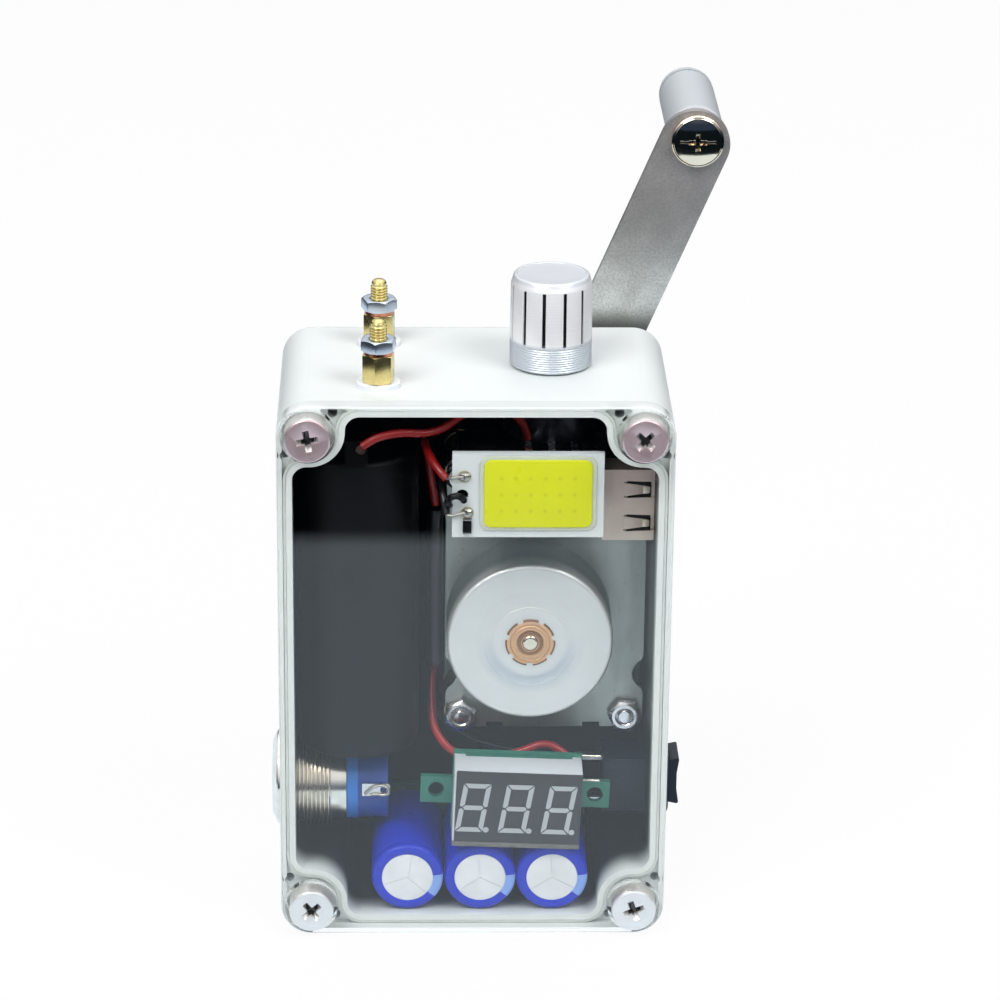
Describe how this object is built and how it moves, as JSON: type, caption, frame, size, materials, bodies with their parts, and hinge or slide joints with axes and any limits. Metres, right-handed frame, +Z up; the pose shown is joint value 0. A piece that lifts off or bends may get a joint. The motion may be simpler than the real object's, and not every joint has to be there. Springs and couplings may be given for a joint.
{
  "type": "hand crank generator",
  "caption": "Clear-fronted hand crank generator with a gearbox, a cell, a light, a voltmeter, a socket, switches and screw terminals.",
  "frame": {"origin": "the middle of the case's lowest face, which it stands on", "axes": "+Z up, +X to the right as the clear lid is faced, +Y from the lid to the back, where the crank is"},
  "size_m": [0.0812, 0.0782, 0.1389],
  "materials": {
    "case_plastic": "fine satin, light grey",
    "clear_plastic": "clear moulded plastic",
    "seal_rubber": "soft, matt",
    "nickel": "bright nickel plate",
    "black_sheet": "matt black",
    "steel": "turned",
    "arm_steel": "fine satin grain",
    "polished_steel": "polished",
    "grip_plastic": "smooth, dark",
    "brass": "bright turned brass",
    "plate_steel": "rolled sheet",
    "can_steel": "zinc plated",
    "bronze": "sintered bronze",
    "magnet": "dark ceramic",
    "copper": "bright copper",
    "white_board": "white lacquered board",
    "yellow_gel": "soft yellow gel",
    "white_plastic": "moulded white",
    "green_board": "lacquered circuit board",
    "display_face": "smoke grey face, white sides",
    "teal_board": "lacquered circuit board",
    "blue_sleeve": "shrunk sleeve",
    "black_sleeve": "shrunk sleeve",
    "grey_sleeve": "shrunk sleeve",
    "blue_plastic": "moulded blue",
    "black_plastic": "fine satin black",
    "aluminium": "turned and anodised",
    "pale_washer": "pale fibre",
    "red_silicone": "limp silicone insulation",
    "black_silicone": "limp silicone insulation"
  },
  "bodies": {
    "case": {"base_shell": "case_plastic", "clear_lid": "clear_plastic", "lid_gasket": "seal_rubber", "lid_screws": "nickel", "insulating_sheet": "black_sheet", "crank_bearing": "brass", "gear_plate_front": "plate_steel", "gear_plate_rear": "plate_steel", "gearbox_bolts": "nickel", "gearbox_spacers": "brass", "idler_arbors": "steel", "generator_can": "can_steel", "tab_washer": "bronze", "rotor_bushes": "bronze", "stator_coils": "copper", "led_board": "white_board", "led_phosphor": "yellow_gel", "led_foam": "black_sheet", "usb_shell": "can_steel", "usb_tongue": "white_plastic", "converter_board": "green_board", "meter_display": "display_face", "meter_board": "teal_board", "supercapacitors": "blue_sleeve", "capacitor_board": "green_board", "battery_cell": "black_sleeve", "battery_tabs": "nickel", "charger_module": "grey_sleeve", "button_barrel": "nickel", "button_insert": "blue_plastic", "rocker_housing": "black_plastic", "solder_lugs": "nickel", "pot_body": "can_steel", "pot_nut": "nickel", "terminal_studs": "brass", "terminal_washers": "pale_washer", "terminal_bodies": "brass", "red_wires": "red_silicone", "black_wires": "black_silicone"},
    "crank": {"crank_shaft": "steel", "crank_gear": "steel", "crank_arm": "arm_steel", "crank_nuts": "nickel", "handle_screw": "polished_steel", "handle_end_cap": "grip_plastic"},
    "grip": {"handle_grip": "grip_plastic"},
    "idler_1": {"idler_gear_1": "steel"},
    "idler_2": {"idler_gear_2": "steel"},
    "rotor": {"rotor_shaft": "polished_steel", "rotor_magnet": "magnet"},
    "knob": {"pot_shaft": "aluminium", "control_knob": "aluminium"},
    "rocker": {"rocker_paddle": "black_plastic"},
    "button": {"button_plunger": "nickel", "button_spring": "steel"},
    "ring_front": {"terminal_ring_front": "copper"},
    "nut_front": {"terminal_nut_front": "nickel"},
    "ring_rear": {"terminal_ring_rear": "copper"},
    "nut_rear": {"terminal_nut_rear": "nickel"}
  },
  "joints": [
    {"name": "crank_turn", "type": "hinge", "parent": "case", "child": "crank", "pos_m": [0.0141, 0.022, 0.073], "axis": [0, 1, 0], "continuous": true},
    {"name": "grip_spin", "type": "hinge", "parent": "crank", "child": "grip", "pos_m": [0.03956, 0.04045, 0.13357], "axis": [0, 1, 0], "continuous": true},
    {"name": "idler_1_turn", "type": "hinge", "parent": "case", "child": "idler_1", "pos_m": [0.02035, 0.0096, 0.06218], "axis": [0, 1, 0], "continuous": true},
    {"name": "idler_2_turn", "type": "hinge", "parent": "case", "child": "idler_2", "pos_m": [0.02121, 0.0096, 0.05071], "axis": [0, 1, 0], "continuous": true},
    {"name": "rotor_turn", "type": "hinge", "parent": "case", "child": "rotor", "pos_m": [0.01, -0.001, 0.0517], "axis": [0, 1, 0], "continuous": true},
    {"name": "knob_turn", "type": "hinge", "parent": "case", "child": "knob", "pos_m": [0.01324, 0.00097, 0.105], "axis": [0, 0, 1], "range_deg": [-150, 150]},
    {"name": "rocker_tilt", "type": "hinge", "parent": "case", "child": "rocker", "pos_m": [0.034, 0, 0.0214], "axis": [0, 1, 0], "range_deg": [-10, 10]},
    {"name": "button_press", "type": "slide", "parent": "case", "child": "button", "axis": [1, 0, 0], "range_m": [0, 0.0015], "stiffness_N_per_m": 900, "springref_m": -0.0015},
    {"name": "ring_front_lift", "type": "slide", "parent": "case", "child": "ring_front", "axis": [0, 0, 1], "range_m": [0, 0.002]},
    {"name": "nut_front_turn", "type": "hinge", "parent": "ring_front", "child": "nut_front", "pos_m": [-0.01665, -0.0104, 0.1075], "axis": [0, 0, 1], "range_deg": [0, 1440]},
    {"name": "ring_rear_lift", "type": "slide", "parent": "case", "child": "ring_rear", "axis": [0, 0, 1], "range_m": [0, 0.002]},
    {"name": "nut_rear_turn", "type": "hinge", "parent": "ring_rear", "child": "nut_rear", "pos_m": [-0.01665, 0.011, 0.1075], "axis": [0, 0, 1], "range_deg": [0, 1440]}
  ],
  "couplings": [
    {"joint": "idler_1_turn", "follows": "crank_turn", "ratio": -4},
    {"joint": "idler_2_turn", "follows": "crank_turn", "ratio": 14.4},
    {"joint": "rotor_turn", "follows": "crank_turn", "ratio": -57.6},
    {"joint": "nut_front_turn", "follows": "ring_front_lift", "rad_per_m": 12566},
    {"joint": "nut_rear_turn", "follows": "ring_rear_lift", "rad_per_m": 12566}
  ]
}
